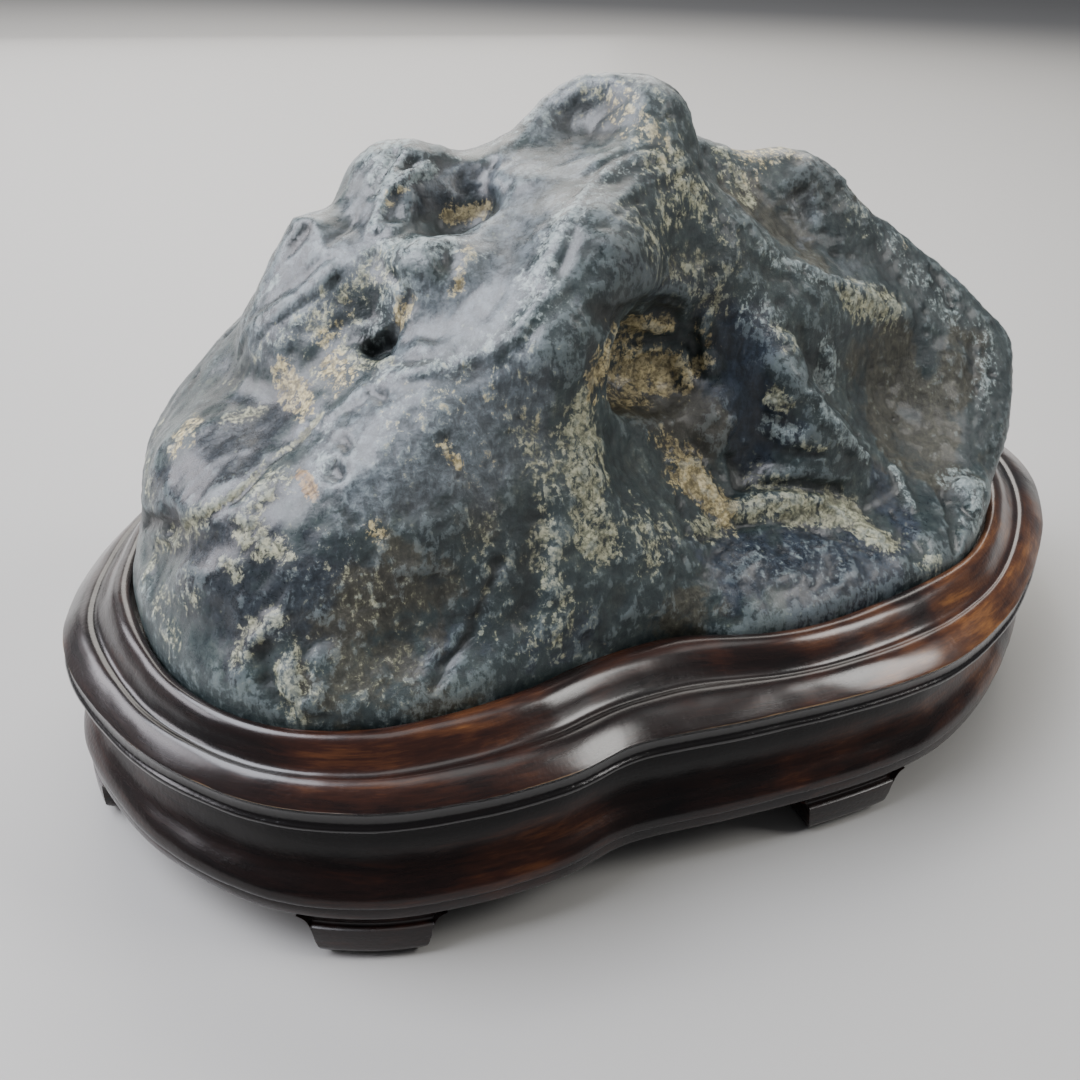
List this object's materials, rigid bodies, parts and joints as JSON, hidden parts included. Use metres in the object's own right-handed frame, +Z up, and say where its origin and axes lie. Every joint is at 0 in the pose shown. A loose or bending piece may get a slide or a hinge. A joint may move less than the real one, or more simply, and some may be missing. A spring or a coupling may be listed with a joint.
{
  "type": "scholars rock on wooden stand",
  "caption": "Weathered dark stone with ridges, pits and hollows, seated in a low moulded hardwood stand on bracket feet, as a display piece.",
  "frame": {"origin": "on the surface the stand rests on, under the middle of the stand's outline", "axes": "+X along the stand's length towards its broad end, +Y from the stone's worn front face to its back, +Z up"},
  "size_m": [0.2296, 0.1433, 0.1279],
  "materials": {
    "stone": "waxed, satin, dark blue-grey with cream and ochre blotches",
    "stand": "dark brown lacquer, glossy, worn lighter on the edges"
  },
  "bodies": {
    "root": {"stone": "stone", "stand": "stand"}
  },
  "joints": []
}
